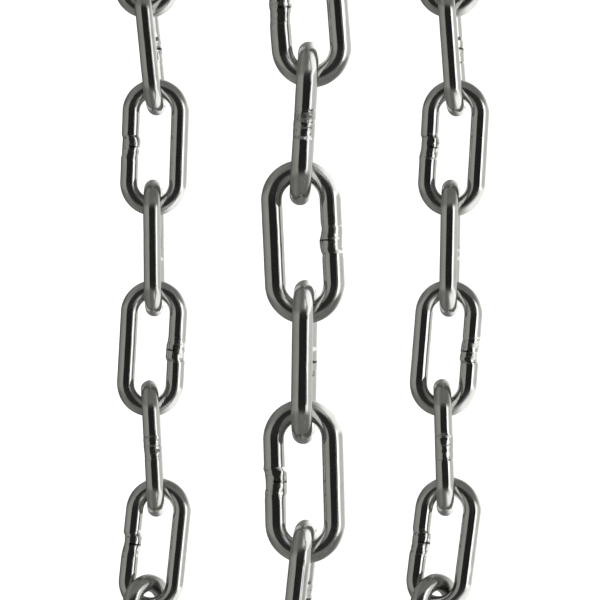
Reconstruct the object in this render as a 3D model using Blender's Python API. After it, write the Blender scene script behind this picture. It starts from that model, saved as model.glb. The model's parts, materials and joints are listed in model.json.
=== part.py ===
"""Three one-metre lengths of welded steel chain, lying straight and side by side on a floor.

The middle length is of 12 mm wire and the two beside it are of 10 mm wire. Each link is one
closed solid, bent from round wire and butt-welded in one leg, and hangs loosely in the next.
Metres, +Z up, chains along Y, origin on the floor under the middle of the whole lay.
"""

import math
from typing import NamedTuple

import bmesh
import bpy
import numpy as np
from mathutils import Matrix
from mathutils.bvhtree import BVHTree

THICK_WIRE = 0.012
THIN_WIRE = 0.010
CENTRE_INNER_LENGTH = 5.775  # inside length of a link, in wire diameters
LEFT_INNER_LENGTH = 5.83
RIGHT_INNER_LENGTH = 5.76
OUTER_WIDTH = 3.80  # width over both legs, in wire diameters
PLAY = 0.0004  # how far the next link is drawn back from where the solids touch
SURELY_SLACK = 0.85  # distance from link to link at which they hang free, in inside lengths
SURELY_TOUCHING = 1.05  # distance at which they would run into each other
HALVINGS = 20  # steps in closing in on the place where they touch

WELD_LENGTH = 1.4  # length of the upset metal along its leg, in wire diameters
WELD_TOP = 0.8  # length of it that stands full height, in wire diameters
WELD_BULGE = 0.12  # how far it stands into the eye, in wire diameters

SECTION_SIDES = 8  # flats face the next link, and the floor at a lean of 45 degrees
CROWN_STEPS = 7  # odd, so that a flat facet meets the next link
THICK_COUNT = 15  # links in the middle length
THIN_COUNT = 18  # links in each of the others
LEFT_X = -0.1302  # line of the left chain, from the line of the middle one
RIGHT_X = 0.1194  # line of the right chain
LEFT_FORWARD = 0.0041  # how much further along Y the listed links of the left chain lie
RIGHT_FORWARD = 0.0044

EVEN_LEAN = 45.0  # a straight chain lies with its links leaning to alternate sides by this

# The turn of a link about its own length that brings its welded leg to each of four places.
# Links that lean to +X have one leg at the right and one at the left of a viewer at +X, and
# those that lean to -X have one in front and one at the back.
WELD_TURN = {"right": 45.0, "left": 225.0, "front": -45.0, "back": 135.0}
LEAN_SIGN = {"right": 1.0, "left": 1.0, "front": -1.0, "back": -1.0}


class Lie(NamedTuple):
    """How one link lies in its chain."""

    aside: float  # distance of its middle from the chain's line, in millimetres towards +X
    yaw: float  # turn of its length away from Y, in degrees
    steeper: float  # lean beyond an even lean, in degrees
    weld: str  # where its welded leg is
    lift: float = 0.0  # height of its middle above where it would rest on one leg, in millimetres
    pitch: float = 0.0  # how far its end at -Y is tipped up, in degrees


CENTRE_LAY = [
    Lie(-3.3, -9.1, 2.5, "back"),
    Lie(0.4, 2.2, -4.0, "left"),
    Lie(1.4, -1.2, 0.9, "back"),
    Lie(-0.9, 4.0, -5.0, "right"),
    Lie(1.0, -5.1, -2.3, "front"),
    Lie(3.4, 6.6, -6.0, "left"),
]
LEFT_LAY = [
    Lie(-1.8, -3.0, 41.0, "back"),
    Lie(2.2, -4.0, -12.0, "left", 3.5, 4.3),
    Lie(-1.6, 4.7, -3.0, "front"),
    Lie(-1.8, -4.7, 0.0, "right"),
    Lie(-0.3, 0.8, 0.3, "back"),
    Lie(0.3, -2.9, 0.0, "left"),
    Lie(-2.7, 8.6, 3.0, "back"),
    Lie(-6.6, -1.5, -5.0, "right"),
]
RIGHT_LAY = [
    Lie(-7.5, -4.5, 41.0, "back"),
    Lie(-2.1, -6.1, -12.0, "left", 3.5, 4.3),
    Lie(-4.0, 2.4, -3.0, "front"),
    Lie(-2.6, -6.9, -5.0, "right"),
    Lie(1.5, -1.5, -0.1, "back"),
    Lie(4.1, -5.0, -3.0, "left"),
    Lie(4.0, 6.0, 2.7, "back"),
    Lie(1.8, -2.4, -3.0, "right"),
]
LINKS_BELOW = 4  # links on the -Y side of those lists; the rest are on the +Y side
FREE_YAW = 3.5  # most that such a link is turned either way, in degrees
FREE_STEEPER = 2.5  # most that one of them leans beyond an even lean, in degrees
LEAN_BACK = 0.35  # share of its neighbour's further lean that one of them leans the other way
LEVEL_PLAY = 0.12  # height between neighbours that needs no tipping, in wire diameters
YAW_BEAT = 2.4  # how fast those two turns change from link to link, in radians
STEEPER_BEAT = 1.7

STEEL_COLOUR = (0.56, 0.56, 0.54, 1.0)
STEEL_ROUGHNESS = 0.2


class Gauge:
    """The sizes of a link that follow from its wire and its inside length."""

    def __init__(self, wire, inner_wires):
        self.wire = wire
        self.inner_length = inner_wires * wire
        self.bend = (OUTER_WIDTH - 1.0) * wire / 2.0
        self.half_leg = (self.inner_length + 2.0 * wire - OUTER_WIDTH * wire) / 2.0
        # The flat-sided section has the area of the round wire.
        step = 2.0 * math.pi / SECTION_SIDES
        self.corner = wire / 2.0 * math.sqrt(step / math.sin(step))
        # The crown is moved out until its middle facet lies at the true inside of the bend.
        flat = self.corner * math.cos(step / 2.0)
        facet = (self.bend - flat) * math.cos(math.pi / CROWN_STEPS / 2.0)
        self.crown_y = self.half_leg + self.bend - wire / 2.0 - facet

    def rest_height(self, lean):
        """Height of a link's middle when it leans by that many degrees on its lower leg."""
        between = 360.0 / SECTION_SIDES
        from_corner = math.radians(lean % between - between / 2.0)
        below_leg = self.corner * math.cos(from_corner)
        return self.bend * math.sin(math.radians(lean)) + below_leg


def draw_out(bm, ring, distance):
    """Draws a ring of edges out along Y and returns the new ring and its vertices."""
    made = bmesh.ops.extrude_edge_only(bm, edges=ring)["geom"]
    verts = [item for item in made if isinstance(item, bmesh.types.BMVert)]
    bmesh.ops.translate(bm, verts=verts, vec=(0.0, distance, 0.0))
    known = set(verts)
    return [edge for edge in bm.edges if known.issuperset(edge.verts)], verts


def bend_crown(bm, ring, crown_y):
    """Sweeps a ring of edges half round one end of the link and returns the last ring."""
    swept = bmesh.ops.spin(
        bm,
        geom=ring,
        cent=(0.0, crown_y, 0.0),
        axis=(0.0, 0.0, 1.0),
        angle=math.pi,
        steps=CROWN_STEPS,
        use_duplicate=False,
    )
    return [item for item in swept["geom_last"] if isinstance(item, bmesh.types.BMEdge)]


def upset(bm, verts, gauge):
    """Widens a ring of the welded leg into the eye, and leaves its outer side where it is."""
    to_leg = Matrix.Translation((-gauge.bend, 0.0, 0.0))
    bmesh.ops.scale(bm, verts=verts, vec=(1.0 + WELD_BULGE, 1.0, 1.0), space=to_leg)
    bmesh.ops.translate(bm, verts=verts, vec=(-WELD_BULGE * gauge.wire / 2.0, 0.0, 0.0))


def link_mesh(name, gauge):
    """One link along Y with its legs at -X and +X and its weld in the leg at +X."""
    bm = bmesh.new()
    onto_leg = Matrix.Translation((gauge.bend, gauge.crown_y, 0.0))
    across_leg = Matrix.Rotation(math.pi / 2.0, 4, "X")
    flat_inwards = Matrix.Rotation(math.pi / SECTION_SIDES, 4, "Z")
    bmesh.ops.create_circle(
        bm,
        segments=SECTION_SIDES,
        radius=gauge.corner,
        matrix=onto_leg @ across_leg @ flat_inwards,
    )
    first = list(bm.edges)
    ring = bend_crown(bm, first, gauge.crown_y)
    ring, _ = draw_out(bm, ring, -2.0 * gauge.crown_y)
    ring = bend_crown(bm, ring, -gauge.crown_y)
    half_weld = WELD_LENGTH * gauge.wire / 2.0
    half_top = WELD_TOP * gauge.wire / 2.0
    ring, _ = draw_out(bm, ring, gauge.crown_y - half_weld)
    ring, low_top = draw_out(bm, ring, half_weld - half_top)
    ring, high_top = draw_out(bm, ring, 2.0 * half_top)
    ring, _ = draw_out(bm, ring, half_weld - half_top)
    upset(bm, low_top + high_top, gauge)
    bmesh.ops.bridge_loops(bm, edges=ring + first)
    bmesh.ops.recalc_face_normals(bm, faces=list(bm.faces))
    mesh = bpy.data.meshes.new(name)
    bm.to_mesh(mesh)
    bm.free()
    mesh.shade_smooth()
    return mesh


def steel(name):
    """Bright drawn steel."""
    material = bpy.data.materials.new(name)
    material.use_nodes = True
    shader = material.node_tree.nodes["Principled BSDF"]
    shader.inputs["Base Color"].default_value = STEEL_COLOUR
    shader.inputs["Metallic"].default_value = 1.0
    shader.inputs["Roughness"].default_value = STEEL_ROUGHNESS
    return material


def free_lie(neighbour, number, way, gauge):
    """The lie of a link past the end of a list, hung in the middle of its neighbour's crown."""
    yaw = FREE_YAW * math.sin(YAW_BEAT * number)
    turns = math.sin(math.radians(yaw)) + math.sin(math.radians(neighbour.yaw))
    aside = neighbour.aside - way * turns * gauge.inner_length / 2.0 * 1000.0
    welds = ("front", "back") if neighbour.weld in ("right", "left") else ("right", "left")
    weld = welds[number // 2 % 2]
    steeper = FREE_STEEPER * math.sin(STEEPER_BEAT * number) - LEAN_BACK * neighbour.steeper
    rise = gauge.rest_height(EVEN_LEAN + neighbour.steeper) - gauge.rest_height(EVEN_LEAN + steeper)
    raised = max(rise - LEVEL_PLAY * gauge.wire, 0.0)
    pitch = way * math.degrees(math.asin(raised / gauge.inner_length))
    return Lie(aside, yaw, steeper, weld, raised / 2.0 * 1000.0, pitch)


def whole_lay(seen, count, gauge):
    """The given links with the free ones before and after them, from -Y to +Y."""
    lay = list(seen)
    for number in range(1, LINKS_BELOW + 1):
        lay.insert(0, free_lie(lay[0], number, -1.0, gauge))
    for number in range(1, count - len(lay) + 1):
        lay.append(free_lie(lay[-1], number + LINKS_BELOW, 1.0, gauge))
    return lay


def lie_matrix(lie, gauge, line_x, y):
    """Places a link on the floor at that distance along Y."""
    turn = WELD_TURN[lie.weld] + LEAN_SIGN[lie.weld] * lie.steeper
    height = gauge.rest_height(EVEN_LEAN + lie.steeper)
    place = Matrix.Translation((line_x + lie.aside / 1000.0, y, height + lie.lift / 1000.0))
    yaw = Matrix.Rotation(math.radians(lie.yaw), 4, "Z")
    pitch = Matrix.Rotation(math.radians(-lie.pitch), 4, "X")
    return place @ yaw @ pitch @ Matrix.Rotation(math.radians(turn), 4, "Y")


def surface(mesh, matrix):
    """The faces of a mesh placed by matrix, for finding where two links meet."""
    corners = [matrix @ vert.co for vert in mesh.vertices]
    return BVHTree.FromPolygons(corners, [face.vertices for face in mesh.polygons])


def pulled_tight(previous, lie, gauge, line_x, mesh):
    """Places a link along Y where its crown all but bears on that of the previous link."""
    crown = surface(mesh, previous)
    slack_y = previous.translation.y + SURELY_SLACK * gauge.inner_length
    touching_y = previous.translation.y + SURELY_TOUCHING * gauge.inner_length
    for _ in range(HALVINGS):
        y = (slack_y + touching_y) / 2.0
        if surface(mesh, lie_matrix(lie, gauge, line_x, y)).overlap(crown):
            touching_y = y
        else:
            slack_y = y
    return lie_matrix(lie, gauge, line_x, slack_y - PLAY)


def lay_chain(name, gauge, line_x, lay):
    """Makes the links of one chain under an empty and returns the empty."""
    chain = bpy.data.objects.new(f"{name}_chain", None)
    bpy.context.collection.objects.link(chain)
    mesh = link_mesh(f"{name}_chain_link", gauge)
    mesh.materials.append(steel(f"{name}_chain_steel"))
    matrix = lie_matrix(lay[0], gauge, line_x, 0.0)
    for number, lie in enumerate(lay, start=1):
        if number > 1:
            matrix = pulled_tight(matrix, lie, gauge, line_x, mesh)
        link = bpy.data.objects.new(f"{name}_chain_link_{number:02d}", mesh)
        bpy.context.collection.objects.link(link)
        link.parent = chain
        link.matrix_local = matrix
    return chain


def links_of(chain):
    """The links of a chain from -Y to +Y."""
    return sorted(chain.children, key=lambda link: link.name)


def slide_to(chain, seen, middle_y):
    """Slides a chain along Y until the middle of its listed links is at that distance."""
    listed = links_of(chain)[LINKS_BELOW : LINKS_BELOW + seen]
    middle = (listed[0].location.y + listed[-1].location.y) / 2.0
    chain.location.y = middle_y - middle


def bounds(links):
    """Lowest and highest corner of the links' vertices in the world."""
    points = [link.matrix_world @ vert.co for link in links for vert in link.data.vertices]
    return np.min(points, axis=0), np.max(points, axis=0)


def main():
    for item in list(bpy.data.objects):
        bpy.data.objects.remove(item)
    centre = Gauge(THICK_WIRE, CENTRE_INNER_LENGTH)
    left = Gauge(THIN_WIRE, LEFT_INNER_LENGTH)
    right = Gauge(THIN_WIRE, RIGHT_INNER_LENGTH)
    chains = []
    for name, gauge, line_x, seen, count, middle_y in (
        ("centre", centre, 0.0, CENTRE_LAY, THICK_COUNT, 0.0),
        ("left", left, LEFT_X, LEFT_LAY, THIN_COUNT, LEFT_FORWARD),
        ("right", right, RIGHT_X, RIGHT_LAY, THIN_COUNT, RIGHT_FORWARD),
    ):
        chain = lay_chain(name, gauge, line_x, whole_lay(seen, count, gauge))
        slide_to(chain, len(seen), middle_y)
        chains.append(chain)
    bpy.context.view_layer.update()
    lowest, highest = bounds([link for chain in chains for link in links_of(chain)])
    for chain in chains:
        chain.location.x -= (lowest[0] + highest[0]) / 2.0
        chain.location.y -= (lowest[1] + highest[1]) / 2.0


main()
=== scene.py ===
"""Three lengths of bright welded steel chain on a white studio floor.

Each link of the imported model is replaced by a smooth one: bent from round wire, with the upset
and the die marks of its butt weld, and a little uneven all over. Bright steel shows only what
it mirrors, so the studio is a sky of wide soft fields laid out round the camera's side, and a
soft white panel past each end of the chains.
"""

import json
import logging
import math
from dataclasses import dataclass, field
from enum import Enum

import bpy
import numpy as np
from mathutils import Matrix, Vector

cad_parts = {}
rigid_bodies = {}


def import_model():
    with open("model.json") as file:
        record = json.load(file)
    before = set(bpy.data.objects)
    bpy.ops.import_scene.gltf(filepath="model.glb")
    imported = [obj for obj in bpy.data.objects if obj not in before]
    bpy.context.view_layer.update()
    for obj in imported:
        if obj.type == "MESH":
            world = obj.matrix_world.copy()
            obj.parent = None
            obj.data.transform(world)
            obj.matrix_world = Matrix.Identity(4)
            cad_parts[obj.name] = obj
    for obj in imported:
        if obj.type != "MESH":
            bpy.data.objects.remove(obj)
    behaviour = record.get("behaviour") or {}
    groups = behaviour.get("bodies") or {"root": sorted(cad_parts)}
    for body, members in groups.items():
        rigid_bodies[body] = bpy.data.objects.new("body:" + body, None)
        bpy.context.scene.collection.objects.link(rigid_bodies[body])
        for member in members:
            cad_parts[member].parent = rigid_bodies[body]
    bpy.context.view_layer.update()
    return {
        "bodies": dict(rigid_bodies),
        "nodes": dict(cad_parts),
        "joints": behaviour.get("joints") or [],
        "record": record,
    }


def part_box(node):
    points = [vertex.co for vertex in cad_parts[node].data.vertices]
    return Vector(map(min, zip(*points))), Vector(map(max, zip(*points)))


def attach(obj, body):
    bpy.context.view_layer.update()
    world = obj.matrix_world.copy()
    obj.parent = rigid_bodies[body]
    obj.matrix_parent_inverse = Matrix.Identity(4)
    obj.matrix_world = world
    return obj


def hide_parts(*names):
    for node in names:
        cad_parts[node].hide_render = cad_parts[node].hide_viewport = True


log = logging.getLogger("chains")

THICK_WIRE = 0.012
THIN_WIRE = 0.010
# Two links in each four are laid with the steep end of their weld the other way.
TURNED_EVERY = 4
TURNED_OF_THEM = 2
# How far the pattern of one chain starts from that of the chain before, in metres.
PATTERN_GAP = 1.7
NOISE_MIDDLE = 0.5

# The camera looks down at the chains from +X, turned so that they run up the picture.
LOOK_DOWN = math.radians(42.0)
TO_CAMERA = Vector((math.cos(LOOK_DOWN), 0.0, math.sin(LOOK_DOWN)))
PICTURE_UP = Vector((0.0, 1.0, 0.0))
PICTURE_RIGHT = PICTURE_UP.cross(TO_CAMERA)

Colour = tuple[float, float, float, float]


class Chain(Enum):
    """The three lengths, each with the start of its nodes' names."""

    LEFT = "left"
    CENTRE = "centre"
    RIGHT = "right"

    def nodes(self, all_nodes: dict[str, bpy.types.Object]) -> list[str]:
        """Names of this chain's links, from one end to the other."""
        return sorted(name for name in all_nodes if name.startswith(f"{self.value}_chain_link_"))

    def slot(self) -> str:
        """The record's material slot for this chain."""
        return f"{self.value}_chain_steel"

    def wire(self) -> float:
        """The diameter of its wire, in metres."""
        return THICK_WIRE if self is Chain.CENTRE else THIN_WIRE

    def inner_length(self) -> float:
        """The inside length of its links, in wire diameters."""
        return {Chain.LEFT: 5.83, Chain.CENTRE: 5.775, Chain.RIGHT: 5.76}[self]


def pick(piece: bpy.types.Object) -> None:
    """Makes an object the only selected one, and the active one.

    Args:
        piece: The object.
    """
    for other in list(bpy.context.selected_objects):
        other.select_set(False)
    piece.select_set(True)
    bpy.context.view_layer.objects.active = piece


def smooth_step(value: float | np.ndarray) -> float | np.ndarray:
    """0 below 0, 1 above 1 and a smooth rise between."""
    held = np.clip(value, 0.0, 1.0)
    return held * held * (3.0 - 2.0 * held)


def grey(value: float, warmth: float = 0.0) -> Colour:
    """A grey of that strength.

    Args:
        value: How light it is.
        warmth: Share of its blue that it lacks; red and green gain a fifth of that.

    Returns:
        The colour.
    """
    warm = value * (1.0 + 0.2 * warmth)
    return (warm, warm, value * (1.0 - warmth), 1.0)


class Wiring:
    """Short calls for placing and joining shader nodes in one tree."""

    def __init__(self, tree: bpy.types.NodeTree) -> None:
        """Keeps the tree that the nodes go into."""
        self.tree = tree

    def put(self, socket: bpy.types.NodeSocket, value: object) -> None:
        """Joins a socket to an output socket, or sets its value.

        Args:
            socket: The input.
            value: An output to join it to, or a plain value.
        """
        if isinstance(value, bpy.types.NodeSocket):
            self.tree.links.new(value, socket)
        else:
            socket.default_value = value

    def node(self, kind: str, settings: dict | None = None, **sockets: object) -> bpy.types.Node:
        """Adds a node.

        Args:
            kind: Type name of the node.
            settings: The node's own properties.
            **sockets: Values or outputs for its inputs; an underscore stands for a space.

        Returns:
            The node.
        """
        made = self.tree.nodes.new(kind)
        for label, value in (settings or {}).items():
            setattr(made, label, value)
        for label, value in sockets.items():
            self.put(made.inputs[label.replace("_", " ")], value)
        return made

    def math(self, operation: str, *values: object) -> bpy.types.NodeSocket:
        """One step of arithmetic on numbers.

        Args:
            operation: Blender's name of the step.
            *values: Numbers or outputs, in order.

        Returns:
            The number.
        """
        made = self.node("ShaderNodeMath", {"operation": operation})
        for socket, value in zip(made.inputs, values):
            self.put(socket, value)
        return made.outputs[0]

    def vector(self, operation: str, *values: object) -> bpy.types.NodeSocket:
        """One step of arithmetic on vectors.

        Args:
            operation: Blender's name of the step.
            *values: Vectors or outputs, in order.

        Returns:
            The vector, or the number that a dot product gives.
        """
        made = self.node("ShaderNodeVectorMath", {"operation": operation})
        for socket, value in zip(made.inputs, values):
            self.put(socket, value)
        return made.outputs["Value" if operation == "DOT_PRODUCT" else "Vector"]

    def shrink(self, place: object, size: object) -> bpy.types.NodeSocket:
        """Divides a place by a size, so that a pattern of scale 1 gets that size.

        Args:
            place: Output with the place.
            size: Number or output with the size.

        Returns:
            The divided place.
        """
        made = self.node("ShaderNodeVectorMath", {"operation": "SCALE"}, Scale=self.over(size))
        self.put(made.inputs[0], place)
        return made.outputs["Vector"]

    def over(self, size: object) -> bpy.types.NodeSocket:
        """1 divided by a number or an output."""
        return self.math("DIVIDE", 1.0, size)

    def smooth(self, value: object, low: float, high: float) -> bpy.types.NodeSocket:
        """A smooth rise from 0 to 1.

        Args:
            value: Number or output that it follows.
            low: Where it is still 0; above high, the rise is a fall.
            high: Where it is 1.

        Returns:
            The number.
        """
        made = self.node("ShaderNodeMapRange", {"interpolation_type": "SMOOTHSTEP"})
        self.put(made.inputs["Value"], value)
        self.put(made.inputs["From Min"], min(low, high))
        self.put(made.inputs["From Max"], max(low, high))
        if low > high:
            self.put(made.inputs["To Min"], 1.0)
            self.put(made.inputs["To Max"], 0.0)
        return made.outputs["Result"]

    def between(
        self, kind: str, factor: object, first: object, second: object
    ) -> bpy.types.NodeSocket:
        """Something between two others.

        Args:
            kind: Blender's name of what is mixed, RGBA or FLOAT.
            factor: 0 for the first, 1 for the second.
            first: Value or output.
            second: Value or output.

        Returns:
            The mixed value.
        """
        made = self.node("ShaderNodeMix", {"data_type": kind})
        used = [socket for socket in made.inputs if socket.enabled]
        for socket, value in zip(used, (factor, first, second)):
            self.put(socket, value)
        return next(socket for socket in made.outputs if socket.enabled)

    def blend(self, factor: object, first: object, second: object) -> bpy.types.NodeSocket:
        """A colour between two, by a factor."""
        return self.between("RGBA", factor, first, second)

    def mix(self, factor: object, first: object, second: object) -> bpy.types.NodeSocket:
        """A number between two, by a factor."""
        return self.between("FLOAT", factor, first, second)

    def ramp(self, factor: object, stops: list[tuple[float, Colour]]) -> bpy.types.NodeSocket:
        """A colour that runs through stops.

        Args:
            factor: Where to read it, from 0 to 1.
            stops: Place and colour of each stop, in order.

        Returns:
            The colour.
        """
        made = self.node("ShaderNodeValToRGB", Fac=factor)
        elements = made.color_ramp.elements
        while len(elements) < len(stops):
            elements.new(0.5)
        for element, (place, colour) in zip(elements, stops):
            element.position = place
            element.color = colour
        return made.outputs["Color"]


class Group:
    """A shader node group while it is wired up."""

    def __init__(self, name: str, places: tuple[str, ...], numbers: tuple[str, ...]) -> None:
        """Starts the group with its inputs.

        Args:
            name: Name of the group.
            places: Names of the inputs that are vectors.
            numbers: Names of the inputs that are numbers.
        """
        self.tree = bpy.data.node_groups.new(name, "ShaderNodeTree")
        for labels, kind in ((places, "NodeSocketVector"), (numbers, "NodeSocketFloat")):
            for label in labels:
                self.tree.interface.new_socket(label, in_out="INPUT", socket_type=kind)
        self.given = self.tree.nodes.new("NodeGroupInput").outputs
        self.wiring = Wiring(self.tree)

    def close(self, **results: bpy.types.NodeSocket) -> bpy.types.NodeTree:
        """Gives the group its outputs, all of them numbers.

        Args:
            **results: What each output gives, by its name.

        Returns:
            The group's tree.
        """
        for label in results:
            self.tree.interface.new_socket(label, in_out="OUTPUT", socket_type="NodeSocketFloat")
        end = self.tree.nodes.new("NodeGroupOutput")
        for label, value in results.items():
            self.wiring.put(end.inputs[label], value)
        return self.tree


@dataclass
class LinkMould:
    """Bends one link of round wire, along Y, with its welded leg at +X.

    Sizes are in wire diameters, apart from those of the wire, the bend and the half leg, which
    are in metres.
    """

    wire: float
    inner_length: float
    outer_width: float = 3.80
    sides: int = 40
    crown_steps: int = 40
    leg_steps: int = 28
    shoulder_steps: int = 9
    weld_half: float = 0.7
    weld_steps: int = 50
    weld_rise: float = 0.24
    weld_ease: float = 0.75
    weld_inwards: float = 0.07
    weld_swell: float = 0.012
    weld_ridge: float = 0.018
    ridge_half: float = 0.10
    mark_width: float = 0.03
    mark_depth: float = 0.012
    skin_fade: float = 0.2
    # How bent a leg's end counts as, and how fast that rises on the way round the bend.
    bent_at_leg: float = 0.3
    bent_rise: float = 2.0
    same_point: float = 0.001
    bend: float = field(init=False)
    half_leg: float = field(init=False)

    def __post_init__(self) -> None:
        """Works out the bend's radius and the length of a straight leg."""
        self.bend = (self.outer_width - 1.0) * self.wire / 2.0
        self.half_leg = (self.inner_length + 2.0 - self.outer_width) * self.wire / 2.0

    def weld_shape(self, place: float) -> tuple[float, float]:
        """The welded leg's section at a place along it.

        Args:
            place: Distance from the weld's middle, in wire diameters.

        Returns:
            Its width against the wire's, and how far it stands inwards, in wire diameters.
        """
        if abs(abs(place) - self.weld_half) < self.mark_width / 2.0:
            return 1.0 - self.mark_depth, 0.0
        rise = self.weld_rise if place > 0.0 else self.weld_ease
        level = smooth_step((self.weld_half - abs(place)) / rise)
        ridge = math.exp(-((place / self.ridge_half) ** 2))
        return 1.0 + self.weld_swell * level + self.weld_ridge * ridge, self.weld_inwards * level

    def weld_stations(self) -> list[float]:
        """Finds where the welded leg gets its rings.

        Returns:
            Their places, in wire diameters from the weld's middle.
        """
        end = self.half_leg / self.wire
        inner = self.weld_half - self.mark_width
        outer = self.weld_half + self.mark_width
        shoulder = list(np.linspace(-end, -outer, self.shoulder_steps + 1))
        middle = list(np.linspace(-inner, inner, self.weld_steps + 1))
        half = [*shoulder, -self.weld_half]
        return half + middle + [-place for place in reversed(half)]

    def draw_out(self, distance: float) -> None:
        """Draws the selected ring out along Y."""
        move = {"value": (0.0, distance, 0.0)}
        bpy.ops.mesh.extrude_region_move(TRANSFORM_OT_translate=move)

    def bend_crown(self, side: float) -> None:
        """Sweeps the selected ring half round one of the link's ends.

        Args:
            side: 1 for the end at +Y, or -1.
        """
        bpy.ops.mesh.spin(
            steps=self.crown_steps,
            angle=-math.pi,
            center=(0.0, side * self.half_leg, 0.0),
            axis=(0.0, 0.0, 1.0),
        )

    def draw_welded_leg(self) -> None:
        """Draws the selected ring along the welded leg, with the weld's swelling and marks."""
        stations = self.weld_stations()
        before, width, inwards = stations[0], 1.0, 0.0
        for place in stations[1:]:
            self.draw_out((place - before) * self.wire)
            new_width, new_inwards = self.weld_shape(place)
            scale = new_width / width
            centre = (self.bend - inwards * self.wire, place * self.wire, 0.0)
            bpy.ops.transform.resize(value=(scale, 1.0, scale), center_override=centre)
            shift = (inwards - new_inwards) * self.wire
            bpy.ops.transform.translate(value=(shift, 0.0, 0.0))
            before, width, inwards = place, new_width, new_inwards

    def bend_link(self) -> bpy.types.Object:
        """Bends the link.

        Returns:
            The link at the origin, closed and smooth, with its wire and weld attributes.
        """
        bpy.ops.mesh.primitive_circle_add(
            vertices=self.sides,
            radius=self.wire / 2.0,
            location=(self.bend, self.half_leg, 0.0),
            rotation=(math.pi / 2.0, 0.0, 0.0),
        )
        link = bpy.context.active_object
        link.name = f"link_blank_{round(self.wire * 1000)}"
        pick(link)
        bpy.ops.object.transform_apply(location=True, rotation=True, scale=True)
        bpy.ops.object.mode_set(mode="EDIT")
        bpy.ops.mesh.select_mode(type="EDGE")
        bpy.ops.mesh.select_all(action="SELECT")
        self.bend_crown(1.0)
        for _ in range(self.leg_steps):
            self.draw_out(-2.0 * self.half_leg / self.leg_steps)
        self.bend_crown(-1.0)
        self.draw_welded_leg()
        bpy.ops.mesh.select_all(action="SELECT")
        bpy.ops.mesh.remove_doubles(threshold=self.wire * self.same_point)
        bpy.ops.mesh.normals_make_consistent(inside=False)
        bpy.ops.object.mode_set(mode="OBJECT")
        bpy.ops.object.shade_smooth()
        self.mark_wire(link)
        return link

    def mark_wire(self, link: bpy.types.Object) -> None:
        """Writes each point's place on the straight wire, and how far it is welded and bent.

        Args:
            link: The link at the origin.
        """
        mesh = link.data
        points = np.zeros(len(mesh.vertices) * 3)
        mesh.vertices.foreach_get("co", points)
        x, y, z = points.reshape(-1, 3).T
        beyond = np.clip(np.abs(y) - self.half_leg, 0.0, None) * np.sign(y)
        leg = np.clip(y, -self.half_leg, self.half_leg)
        along = leg + np.arctan2(beyond, np.abs(x)) * self.bend
        straight = np.stack([np.hypot(x, beyond) - self.bend, z, along], axis=1)
        from_weld = np.abs(y) / self.wire
        edge = self.weld_half + self.skin_fade / 2.0
        level = np.clip((edge - from_weld) / self.skin_fade, 0.0, 1.0) * (x > 0.0)
        bent = (np.abs(y) - self.half_leg) / self.bend * self.bent_rise + self.bent_at_leg

        wire = mesh.attributes.new("wire", "FLOAT_VECTOR", "POINT")
        wire.data.foreach_set("vector", straight.astype(np.float32).ravel())
        for name, values in (("weld", level), ("bent", smooth_step(bent))):
            made = mesh.attributes.new(name, "FLOAT", "POINT")
            made.data.foreach_set("value", values.astype(np.float32))
        group = link.vertex_groups.new(name="weld")
        for index in np.nonzero(level)[0]:
            group.add([int(index)], float(level[index]), "REPLACE")


@dataclass(frozen=True)
class Unevenness:
    """A slight unevenness of the surface, pressed into the mesh. Its sizes are in metres."""

    name: str
    grain: float
    height: float
    direction: str = "NORMAL"
    only_weld: bool = False
    hard: bool = False

    def texture(self) -> bpy.types.Texture:
        """Finds or makes the cloud pattern that shapes it.

        Returns:
            The pattern.
        """
        known = bpy.data.textures.get(self.name)
        if known:
            return known
        made = bpy.data.textures.new(self.name, "CLOUDS")
        made.noise_scale = self.grain
        made.noise_depth = 1
        made.noise_type = "HARD_NOISE" if self.hard else "SOFT_NOISE"
        return made

    def press(self, piece: bpy.types.Object, origin: bpy.types.Object) -> None:
        """Presses it into a piece.

        Args:
            piece: The piece.
            origin: The object that the pattern is laid from.
        """
        pick(piece)
        shape = piece.modifiers.new(self.name, "DISPLACE")
        shape.texture = self.texture()
        shape.texture_coords = "OBJECT"
        shape.texture_coords_object = origin
        shape.direction = self.direction
        shape.strength = self.height
        shape.mid_level = NOISE_MIDDLE
        if self.only_weld:
            shape.vertex_group = "weld"
        bpy.ops.object.modifier_apply(modifier=shape.name)


# In these three groups a mask is nothing where its noise or distance has the value named
# "none", and whole at the value named "full".
@dataclass(frozen=True)
class DrawLines:
    """Fine lines along the wire, left by the die that it was drawn through."""

    fine_detail: float = 3.0
    fine_roughness: float = 0.6
    broad_scale: float = 0.22
    streak_none: float = 0.42
    streak_full: float = 0.66

    def group(self) -> bpy.types.NodeTree:
        """Builds the node group.

        Returns:
            The group, which gives the lines' height and the broad streaks.
        """
        group = Group("Draw lines", ("Wire",), ("Spacing", "Reach"))
        w = group.wiring
        spacing, reach = w.over(group.given["Spacing"]), w.over(group.given["Reach"])
        scale = w.node("ShaderNodeCombineXYZ", X=spacing, Y=spacing, Z=reach).outputs[0]
        stretched = w.vector("MULTIPLY", group.given["Wire"], scale)
        fine = w.node(
            "ShaderNodeTexNoise",
            Vector=stretched,
            Scale=1.0,
            Detail=self.fine_detail,
            Roughness=self.fine_roughness,
        )
        broad = w.node("ShaderNodeTexNoise", Vector=stretched, Scale=self.broad_scale, Detail=1.0)
        streak = w.smooth(broad.outputs[0], self.streak_none, self.streak_full)
        return group.close(Height=fine.outputs[0], Streak=streak)


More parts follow.
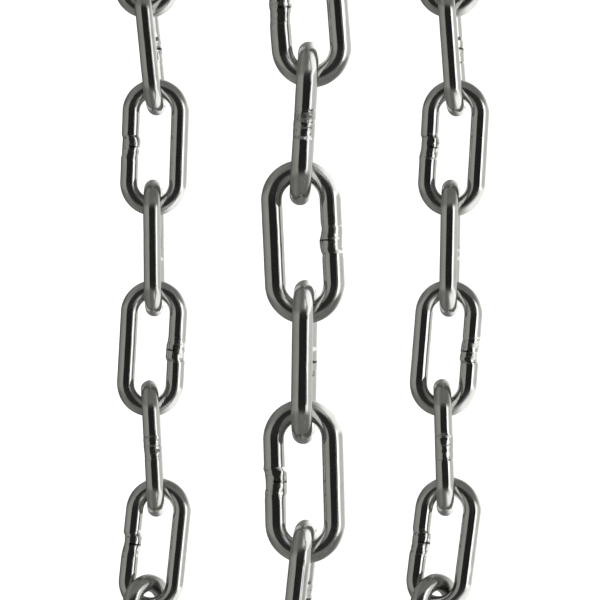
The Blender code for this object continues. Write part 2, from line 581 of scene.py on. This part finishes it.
@dataclass(frozen=True)
class Handling:
    """Smudges and short scratches from handling."""

    smudge_detail: float = 4.0
    smudge_roughness: float = 0.6
    smudge_none: float = 0.38
    smudge_full: float = 0.68
    scratch_scale: float = 5.0
    scratch_none: float = 0.012
    scratch_full: float = 0.004
    broken_scale: float = 2.1
    broken_none: float = 0.56
    broken_full: float = 0.62

    def group(self) -> bpy.types.NodeTree:
        """Builds the node group.

        Returns:
            The group, which gives masks of the smudges and the scratches.
        """
        group = Group("Handling", ("Place",), ("Smudge size",))
        w = group.wiring
        place = w.shrink(group.given["Place"], group.given["Smudge size"])
        cloud = w.node(
            "ShaderNodeTexNoise",
            Vector=place,
            Scale=1.0,
            Detail=self.smudge_detail,
            Roughness=self.smudge_roughness,
        )
        smudge = w.smooth(cloud.outputs[0], self.smudge_none, self.smudge_full)
        warped = w.node("ShaderNodeTexNoise", Vector=place, Scale=self.scratch_scale, Detail=0.0)
        line = w.math("ABSOLUTE", w.math("SUBTRACT", warped.outputs[0], NOISE_MIDDLE))
        thin = w.smooth(line, self.scratch_none, self.scratch_full)
        broken = w.node("ShaderNodeTexNoise", Vector=place, Scale=self.broken_scale, Detail=1.0)
        kept = w.smooth(broken.outputs[0], self.broken_none, self.broken_full)
        return group.close(Smudge=smudge, Scratch=w.math("MULTIPLY", thin, kept))


@dataclass(frozen=True)
class WeldSkin:
    """The rough, spotted skin of a butt weld, with its seam.

    The seam is a dark bar across the inner side of the leg, whole on some links and broken on
    others. Its width is measured along the wire and its ends outwards from the wire's middle,
    both in metres.
    """

    lump_detail: float = 2.0
    speck_scale: float = 1.7
    skin_none: float = 0.4
    skin_full: float = 0.9
    pit_none: float = 0.68
    pit_full: float = 0.74
    pit_depth: float = 0.6
    seam_wander: float = 0.0016
    seam_edge: float = 0.00065
    seam_core: float = 0.00035
    seam_outer_end: float = 0.0004
    seam_full: float = -0.0012
    whole_scale: float = 0.28
    whole_none: float = 0.36
    whole_full: float = 0.46

    def group(self) -> bpy.types.NodeTree:
        """Builds the node group.

        Returns:
            The group, which gives masks of the skin, pits and seam, and the skin's height.
        """
        group = Group("Weld skin", ("Place", "Wire"), ("Weld", "Grain"))
        w = group.wiring
        weld = group.given["Weld"]
        place = w.shrink(group.given["Place"], group.given["Grain"])
        cloud = w.node(
            "ShaderNodeTexNoise", Vector=place, Scale=1.0, Detail=self.lump_detail, Roughness=0.5
        )
        lumps = cloud.outputs[0]
        uneven = w.math("SUBTRACT", lumps, NOISE_MIDDLE)
        skin = w.smooth(w.math("ADD", weld, uneven), self.skin_none, self.skin_full)
        specks = w.node(
            "ShaderNodeTexNoise", Vector=place, Scale=self.speck_scale, Detail=1.0, Roughness=0.5
        )
        pits = w.smooth(specks.outputs[0], self.pit_none, self.pit_full)
        pits = w.math("MULTIPLY", pits, skin)

        split = w.node("ShaderNodeSeparateXYZ", Vector=group.given["Wire"])
        wander = w.math("MULTIPLY", uneven, self.seam_wander)
        off_seam = w.math("ABSOLUTE", w.math("ADD", split.outputs["Z"], wander))
        across = w.smooth(off_seam, self.seam_edge, self.seam_core)
        inside = w.smooth(split.outputs["X"], self.seam_outer_end, self.seam_full)
        whole = w.node("ShaderNodeTexNoise", Vector=place, Scale=self.whole_scale, Detail=0.0)
        kept = w.smooth(whole.outputs[0], self.whole_none, self.whole_full)
        seam = w.math("MULTIPLY", w.math("MULTIPLY", across, inside), kept)

        rough = w.math("MULTIPLY", lumps, skin)
        return group.close(
            Skin=skin,
            Pits=pits,
            Seam=w.math("MULTIPLY", seam, weld),
            Height=w.math("SUBTRACT", rough, w.math("MULTIPLY", pits, self.pit_depth)),
        )


@dataclass(frozen=True)
class BrightWire:
    """Bright drawn steel wire with a spotted skin at each weld. Its sizes are in metres."""

    name: str
    steel: Colour = (0.60, 0.60, 0.59, 1.0)
    dulled: Colour = (0.52, 0.52, 0.49, 1.0)
    weld_tint: Colour = (0.55, 0.55, 0.53, 1.0)
    pit_tint: Colour = (0.10, 0.095, 0.08, 1.0)
    seam_tint: Colour = (0.045, 0.045, 0.04, 1.0)
    smudge_share: float = 0.6
    streak_share: float = 0.4
    polish: float = 0.07
    smudged: float = 0.11
    bent_roughness: float = 0.17
    weld_roughness: float = 0.11
    line_spacing: float = 0.0007
    line_reach: float = 0.04
    smudge_size: float = 0.012
    weld_grain: float = 0.0022
    line_height: float = 0.000003
    scratch_depth: float = 0.000005
    weld_height: float = 0.00008
    peel_grain: float = 0.0012
    peel_height: float = 0.000025

    def material(self, groups: dict[str, bpy.types.NodeTree]) -> bpy.types.Material:
        """Builds the material.

        Args:
            groups: The shared node groups by name.

        Returns:
            The material.
        """
        made = bpy.data.materials.new(self.name)
        made.use_nodes = True
        w = Wiring(made.node_tree)
        shader = made.node_tree.nodes["Principled BSDF"].inputs
        wire = w.node("ShaderNodeAttribute", {"attribute_name": "wire"}).outputs["Vector"]
        weld = w.node("ShaderNodeAttribute", {"attribute_name": "weld"}).outputs["Fac"]
        bent = w.node("ShaderNodeAttribute", {"attribute_name": "bent"}).outputs["Fac"]
        place = w.node("ShaderNodeTexCoord").outputs["Object"]
        lines = w.node(
            "ShaderNodeGroup",
            {"node_tree": groups["lines"]},
            Wire=wire,
            Spacing=self.line_spacing,
            Reach=self.line_reach,
        ).outputs
        wear = w.node(
            "ShaderNodeGroup",
            {"node_tree": groups["handling"]},
            Place=place,
            Smudge_size=self.smudge_size,
        ).outputs
        skin = w.node(
            "ShaderNodeGroup",
            {"node_tree": groups["weld"]},
            Place=place,
            Wire=wire,
            Weld=weld,
            Grain=self.weld_grain,
        ).outputs

        dull = w.math("MULTIPLY", wear["Smudge"], self.smudge_share)
        dull = w.math("ADD", dull, w.math("MULTIPLY", lines["Streak"], self.streak_share))
        colour = w.blend(dull, self.steel, self.dulled)
        colour = w.blend(skin["Skin"], colour, self.weld_tint)
        colour = w.blend(skin["Pits"], colour, self.pit_tint)
        w.put(shader["Base Color"], w.blend(skin["Seam"], colour, self.seam_tint))
        shader["Metallic"].default_value = 1.0
        rough = w.node("ShaderNodeMapRange", Value=dull, To_Min=self.polish, To_Max=self.smudged)
        rough = w.mix(bent, rough.outputs["Result"], self.bent_roughness)
        w.put(shader["Roughness"], w.mix(skin["Skin"], rough, self.weld_roughness))

        height = w.math("MULTIPLY", lines["Height"], self.line_height)
        scratch = w.math("MULTIPLY", wear["Scratch"], self.scratch_depth)
        height = w.math("SUBTRACT", height, scratch)
        height = w.math("ADD", height, w.math("MULTIPLY", skin["Height"], self.weld_height))
        peel = w.node("ShaderNodeTexNoise", Vector=place, Scale=1.0 / self.peel_grain, Detail=1.0)
        peel = w.math("MULTIPLY", w.math("MULTIPLY", peel.outputs[0], bent), self.peel_height)
        height = w.math("ADD", height, peel)
        bump = w.node("ShaderNodeBump", Height=height, Distance=1.0, Strength=1.0)
        w.put(shader["Normal"], bump.outputs["Normal"])
        return made


@dataclass
class ChainLength:
    """One length of chain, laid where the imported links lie."""

    chain: Chain
    blank: bpy.types.Object
    mould: LinkMould
    finish: bpy.types.Material
    pattern_start: float
    pattern_step: tuple[float, float, float] = (0.11, 0.07, -0.05)

    def unevenness(self) -> list[Unevenness]:
        """Lists what is pressed into each link.

        Returns:
            The patterns, from the broadest to the finest.
        """
        wire = self.mould.wire
        size = round(wire * 1000)
        return [
            Unevenness(f"waves_{size}", grain=wire, height=0.016 * wire),
            Unevenness(
                f"kink_{size}", grain=0.9 * wire, height=0.14 * wire, direction="X", only_weld=True
            ),
            Unevenness(f"lumps_{size}", grain=0.42 * wire, height=0.044 * wire, only_weld=True),
            Unevenness(
                f"burrs_{size}", grain=0.13 * wire, height=0.011 * wire, only_weld=True, hard=True
            ),
        ]

    def seat(self, node: bpy.types.Object) -> Matrix:
        """Finds how a packed link lies.

        Args:
            node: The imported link.

        Returns:
            The matrix that lays a link along Y with its weld at +X in the same place.
        """
        mesh = node.data
        points = np.zeros(len(mesh.vertices) * 3)
        mesh.vertices.foreach_get("co", points)
        points = np.unique(points.reshape(-1, 3).round(7), axis=0)
        mean = points.mean(axis=0)
        _, axes = np.linalg.eigh(np.cov((points - mean).T))
        plane, across, along = axes[:, 0], axes[:, 1], axes[:, 2]
        along = along * np.sign(along[1])
        rows = (points - mean) @ np.stack([across, along, plane], axis=1)
        middle = (rows.max(axis=0) + rows.min(axis=0)) / 2.0
        centre = mean + middle @ np.stack([across, along, plane])
        across = across * np.sign(-middle[0])
        axis_x, axis_y = Vector(across), Vector(along)
        turned = Matrix((axis_x, axis_y, axis_x.cross(axis_y))).transposed()
        return Matrix.Translation(centre) @ turned.to_4x4()

    def lay_link(
        self, number: int, node: bpy.types.Object, origin: bpy.types.Object
    ) -> bpy.types.Object:
        """Lays one link.

        Args:
            number: Its number in the chain, from 1.
            node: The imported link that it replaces.
            origin: The object that its unevenness is laid from.

        Returns:
            The link.
        """
        link = self.blank.copy()
        link.data = self.blank.data.copy()
        bpy.context.scene.collection.objects.link(link)
        x, y, z = self.pattern_step
        origin.location = (self.pattern_start + x * number, y * number, z * number)
        bpy.context.view_layer.update()
        for pattern in self.unevenness():
            pattern.press(link, origin)
        if number % TURNED_EVERY < TURNED_OF_THEM:
            link.data.transform(Matrix.Rotation(math.pi, 4, "X"))
        link.data.transform(self.seat(node))
        link.vertex_groups.clear()
        link.data.materials.clear()
        link.data.materials.append(self.finish)
        return link

    def lay(self, frame: dict) -> list[bpy.types.Object]:
        """Lays every link of the chain.


        Returns:
            The links.
        """
        origin = bpy.data.objects.new("pattern_origin", None)
        bpy.context.scene.collection.objects.link(origin)
        laid = []
        for number, name in enumerate(self.chain.nodes(frame["nodes"]), start=1):
            link = self.lay_link(number, frame["nodes"][name], origin)
            link.name = f"{name}_wire"
            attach(link, "root")
            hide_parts(name)
            self.chain.slot()
            laid.append(link)
        bpy.data.objects.remove(origin)
        return laid


@dataclass(frozen=True)
class Field:
    """A belt of the sky, with its stops from left to right.

    It fades in over the belts before it between two angles above the camera's direction. Each
    stop is an angle to the right of that direction, a light and a warmth. Angles are in degrees.
    """

    fades_from: float
    fades_to: float
    stops: tuple[tuple[float, float, float], ...]

    def ramp(self) -> list[tuple[float, Colour]]:
        """Stops for a colour ramp, whose ends are 180 degrees left and right."""
        return [((angle + 180.0) / 360.0, grey(light, warm)) for angle, light, warm in self.stops]


LEVEL_SKY = Field(
    0.0,
    0.0,
    (
        (-180.0, 0.03, 0.0),
        (-146.0, 0.07, 0.0),
        (-130.0, 0.18, 0.02),
        (-112.0, 0.30, 0.05),
        (-60.0, 0.42, 0.06),
        (-30.0, 0.37, 0.05),
        (0.0, 0.33, 0.05),
        (16.0, 2.2, 0.0),
        (66.0, 2.2, 0.0),
        (76.0, 0.88, 0.01),
        (110.0, 0.80, 0.03),
        (150.0, 0.85, 0.03),
        (180.0, 0.7, 0.03),
    ),
)
UPPER_SKY = Field(
    13.0,
    29.0,
    (
        (-180.0, 0.20, 0.02),
        (-115.0, 0.13, 0.04),
        (-90.0, 0.22, 0.05),
        (-60.0, 0.29, 0.05),
        (-30.0, 0.20, 0.05),
        (-8.0, 0.18, 0.05),
        (10.0, 0.21, 0.05),
        (60.0, 0.20, 0.04),
        (82.0, 0.27, 0.03),
        (100.0, 0.55, 0.03),
        (116.0, 0.95, 0.03),
        (134.0, 1.4, 0.02),
        (180.0, 1.4, 0.02),
    ),
)
LOWER_SKY = Field(
    -13.0,
    -29.0,
    (
        (-180.0, 0.20, 0.02),
        (-115.0, 0.15, 0.04),
        (-60.0, 0.27, 0.06),
        (-30.0, 0.18, 0.05),
        (-8.0, 0.18, 0.05),
        (10.0, 0.20, 0.05),
        (70.0, 0.18, 0.04),
        (90.0, 0.27, 0.03),
        (110.0, 0.55, 0.03),
        (124.0, 1.1, 0.02),
        (180.0, 1.4, 0.02),
    ),
)
REAR_ABOVE = Field(
    92.0,
    108.0,
    (
        (-180.0, 0.20, 0.0),
        (-80.0, 0.26, 0.02),
        (-40.0, 0.19, 0.03),
        (45.0, 0.20, 0.03),
        (70.0, 0.35, 0.02),
        (100.0, 1.1, 0.0),
        (180.0, 1.3, 0.0),
    ),
)
FAR_ABOVE = Field(
    112.0,
    132.0,
    (
        (-180.0, 0.5, 0.0),
        (-80.0, 0.30, 0.02),
        (-20.0, 0.24, 0.03),
        (0.0, 0.35, 0.03),
        (40.0, 0.60, 0.02),
        (80.0, 1.1, 0.0),
        (180.0, 1.3, 0.0),
    ),
)
REAR_BELOW = Field(
    -88.0,
    -108.0,
    (
        (-180.0, 0.30, 0.0),
        (-100.0, 0.24, 0.02),
        (-40.0, 0.19, 0.03),
        (0.0, 0.24, 0.03),
        (60.0, 0.22, 0.02),
        (100.0, 0.6, 0.0),
        (180.0, 1.3, 0.0),
    ),
)


@dataclass(frozen=True)
class EndPanel:
    """A wide white panel past one end of the chains, which only some of them mirror.

    It reaches from a little right of the camera to far right, and from in front of the chains to
    far behind them, with soft edges at its near side and its front. Its sizes are in metres from
    the middle of the chains.
    """

    name: str
    end: float
    chains: tuple[Chain, ...]
    distance: float = 3.0
    near_right: float = 0.1
    full_right: float = 2.2
    far_right: float = 15.0
    behind: float = -12.0
    dimmed: float = -6.0
    undimmed: float = -1.5
    full_ahead: float = 1.5
    ahead: float = 6.0
    light: float = 1.3
    light_behind: float = 0.5

    def share(self, forward: float) -> float:
        """How far a place is on the way from the panel's rear edge to its front edge."""
        return (forward - self.behind) / (self.ahead - self.behind)

    def soften(self, lamp: bpy.types.Light) -> None:
        """Fades the lamp's light towards its near side and its front, and dims it behind.

        Args:
            lamp: The lamp, whose Y runs backwards at the upper end and forwards at the lower.
        """
        lamp.use_nodes = True
        w = Wiring(lamp.node_tree)
        surface = w.node("ShaderNodeNewGeometry").outputs["Parametric"]
        spot = w.node("ShaderNodeSeparateXYZ", Vector=surface).outputs
        forward = w.math("SUBTRACT", 1.0, spot["Y"]) if self.end > 0.0 else spot["Y"]
        side = w.smooth(spot["X"], 0.0, (self.full_right - self.near_right) / lamp.size)
        front = w.smooth(forward, 1.0, self.share(self.full_ahead))
        bright = w.smooth(forward, self.share(self.dimmed), self.share(self.undimmed))
        rear = w.mix(bright, self.light_behind, 1.0)
        strength = w.math("MULTIPLY", w.math("MULTIPLY", side, front), rear)
        w.put(lamp.node_tree.nodes["Emission"].inputs["Strength"], strength)

    def hang(self, laid: dict[Chain, list[bpy.types.Object]]) -> bpy.types.Object:
        """Hangs the panel.

        Args:
            laid: The links of each chain.

        Returns:
            The lamp.
        """
        width = self.far_right - self.near_right
        depth = self.ahead - self.behind
        back = PICTURE_UP * self.end
        middle = PICTURE_RIGHT * (self.near_right + width / 2.0)
        middle += TO_CAMERA * (self.behind + depth / 2.0) + back * self.distance
        bpy.ops.object.light_add(type="AREA")
        panel = bpy.context.active_object
        panel.name = self.name
        panel.data.shape = "RECTANGLE"
        panel.data.size = width
        panel.data.size_y = depth
        panel.data.energy = self.light * math.pi * width * depth
        self.soften(panel.data)
        panel.visible_camera = False
        turned = Matrix((PICTURE_RIGHT, back.cross(PICTURE_RIGHT), back)).transposed().to_4x4()
        panel.matrix_world = Matrix.Translation(middle) @ turned
        lit = bpy.data.collections.new(f"lit by {self.name}")
        for chain in self.chains:
            for link in laid[chain]:
                lit.objects.link(link)
        panel.light_linking.receiver_collection = lit
        return panel


END_PANELS = (
    EndPanel("panel above", 1.0, (Chain.CENTRE,)),
    EndPanel("panel below", -1.0, (Chain.LEFT, Chain.RIGHT)),
)


@dataclass
class Studio:
    """The white floor, the sky of soft fields and the camera.

    A dark field lies in front of the chains and fades to dusk above and below. Its place and
    size are angles from the camera's direction, in degrees. Lengths are in metres.
    """

    floor_half: float = 15.0
    floor_z: float = -0.0003
    glow: float = 0.88
    shade: float = 0.4
    belts: tuple[Field, ...] = (UPPER_SKY, LOWER_SKY, REAR_ABOVE, FAR_ABOVE, REAR_BELOW)
    dark_right: float = 5.8
    dark_up: float = 2.0
    dark_half_width: float = 43.5
    dark_half_height: float = 50.0
    dark_shape: float = 2.2
    dark_none: float = 1.05
    dark_full: float = 0.93
    dark_light: float = 0.02
    dusk_from: float = 15.0
    dusk_to: float = 40.0
    dusk_light: float = 0.23
    off_zero: float = 0.0001
    aim_links: tuple[str, ...] = ("centre_chain_link_05", "centre_chain_link_10")
    aim_right: float = -0.0105
    aim_up: float = 0.0019
    distance: float = 14.98
    picture_width: float = 0.3412
    sensor: float = 0.036
    sight: float = 100.0

    def lay_floor(self) -> bpy.types.Object:
        """Lays the floor, which the steel doesn't mirror.

        Returns:
            The floor.
        """
        size = 2.0 * self.floor_half
        bpy.ops.mesh.primitive_plane_add(size=size, location=(0, 0, self.floor_z))
        floor = bpy.context.active_object
        floor.name = "floor"
        floor.visible_glossy = False
        floor.visible_shadow = False
        white = bpy.data.materials.new("white floor")
        white.use_nodes = True
        white.node_tree.nodes.clear()
        w = Wiring(white.node_tree)
        both = w.node("ShaderNodeAddShader")
        w.put(both.inputs[0], w.node("ShaderNodeEmission", Strength=self.glow).outputs[0])
        w.put(both.inputs[1], w.node("ShaderNodeBsdfDiffuse", Color=grey(self.shade)).outputs[0])
        w.node("ShaderNodeOutputMaterial", Surface=both.outputs[0])
        floor.data.materials.append(white)
        return floor

    def look_up(self, w: Wiring) -> tuple[bpy.types.NodeSocket, bpy.types.NodeSocket]:
        """Finds where a direction of the sky lies.

        Args:
            w: The sky's wiring.

        Returns:
            Its angle from the camera's direction, as a part to the right and a part up.
        """
        towards = w.vector("NORMALIZE", w.node("ShaderNodeTexCoord").outputs["Generated"])
        right = w.vector("DOT_PRODUCT", towards, tuple(PICTURE_RIGHT))
        up = w.vector("DOT_PRODUCT", towards, tuple(PICTURE_UP))
        ahead = w.vector("DOT_PRODUCT", towards, tuple(TO_CAMERA))
        off = w.math("DEGREES", w.math("ARCCOSINE", ahead))
        # In the camera's own direction the side is nothing, so it is held off zero.
        squares = w.math("ADD", w.math("MULTIPLY", right, right), w.math("MULTIPLY", up, up))
        side = w.math("MAXIMUM", w.math("SQRT", squares), self.off_zero)
        share = w.math("DIVIDE", off, side)
        return w.math("MULTIPLY", right, share), w.math("MULTIPLY", up, share)

    def raise_sky(self) -> None:
        """Sets the sky: plain white, and the soft fields for what the steel mirrors."""
        world = bpy.data.worlds.new("studio sky")
        bpy.context.scene.world = world
        world.use_nodes = True
        world.node_tree.nodes.clear()
        w = Wiring(world.node_tree)
        x, y = self.look_up(w)
        across = w.math("DIVIDE", w.math("ADD", x, 180.0), 360.0)
        sky = w.ramp(across, LEVEL_SKY.ramp())
        for belt in self.belts:
            inside = w.smooth(y, belt.fades_from, belt.fades_to)
            sky = w.blend(inside, sky, w.ramp(across, belt.ramp()))

        off_x = w.math("ABSOLUTE", w.math("SUBTRACT", x, self.dark_right))
        off_y = w.math("ABSOLUTE", w.math("SUBTRACT", y, self.dark_up))
        sideways = w.math("DIVIDE", off_x, self.dark_half_width)
        upwards = w.math("DIVIDE", off_y, self.dark_half_height)
        reach = w.math("ADD", sideways, w.math("POWER", upwards, self.dark_shape))
        dusk = w.smooth(off_y, self.dusk_from, self.dusk_to)
        dark = w.blend(dusk, grey(self.dark_light), grey(self.dusk_light))
        sky = w.blend(w.smooth(reach, self.dark_none, self.dark_full), sky, dark)

        mirrored = w.node("ShaderNodeLightPath").outputs["Is Glossy Ray"]
        seen = w.blend(mirrored, grey(1.0), sky)
        background = w.node("ShaderNodeBackground", Color=seen, Strength=1.0)
        w.node("ShaderNodeOutputWorld", Surface=background.outputs[0])

    def place_camera(self) -> bpy.types.Object:
        """Places the camera, aimed at the middle of the links that the picture is centred on.

        Returns:
            The camera.
        """
        ends = [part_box(name) for name in self.aim_links]
        middle_y = sum((low.y + high.y) / 2.0 for low, high in ends) / len(ends)
        aim = PICTURE_RIGHT * self.aim_right + PICTURE_UP * (middle_y + self.aim_up)
        lens = bpy.data.cameras.new("camera")
        lens.sensor_width = 1000.0 * self.sensor
        lens.lens = lens.sensor_width * self.distance / self.picture_width
        lens.clip_end = self.sight
        camera = bpy.data.objects.new("camera", lens)
        bpy.context.scene.collection.objects.link(camera)
        turned = Matrix((PICTURE_RIGHT, PICTURE_UP, TO_CAMERA)).transposed().to_4x4()
        camera.matrix_world = Matrix.Translation(aim + TO_CAMERA * self.distance) @ turned
        bpy.context.scene.camera = camera
        return camera


def main() -> None:
    """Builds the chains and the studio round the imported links."""
    logging.basicConfig(level=logging.INFO)
    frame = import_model()
    groups = {
        "lines": DrawLines().group(),
        "handling": Handling().group(),
        "weld": WeldSkin().group(),
    }
    laid = {}
    for number, chain in enumerate(Chain):
        mould = LinkMould(chain.wire(), chain.inner_length())
        blank = mould.bend_link()
        finish = BrightWire(f"{chain.value} bright wire").material(groups)
        length = ChainLength(chain, blank, mould, finish, pattern_start=PATTERN_GAP * number)
        laid[chain] = length.lay(frame)
        for link in laid[chain]:
            log.info("laid %s with %d faces", link.name, len(link.data.polygons))
        bpy.data.objects.remove(blank)

    studio = Studio()
    studio.lay_floor()
    studio.raise_sky()
    for panel in END_PANELS:
        panel.hang(laid)
    studio.place_camera()
    bpy.context.scene.view_settings.view_transform = "Standard"


if __name__ == "__main__":
    main()
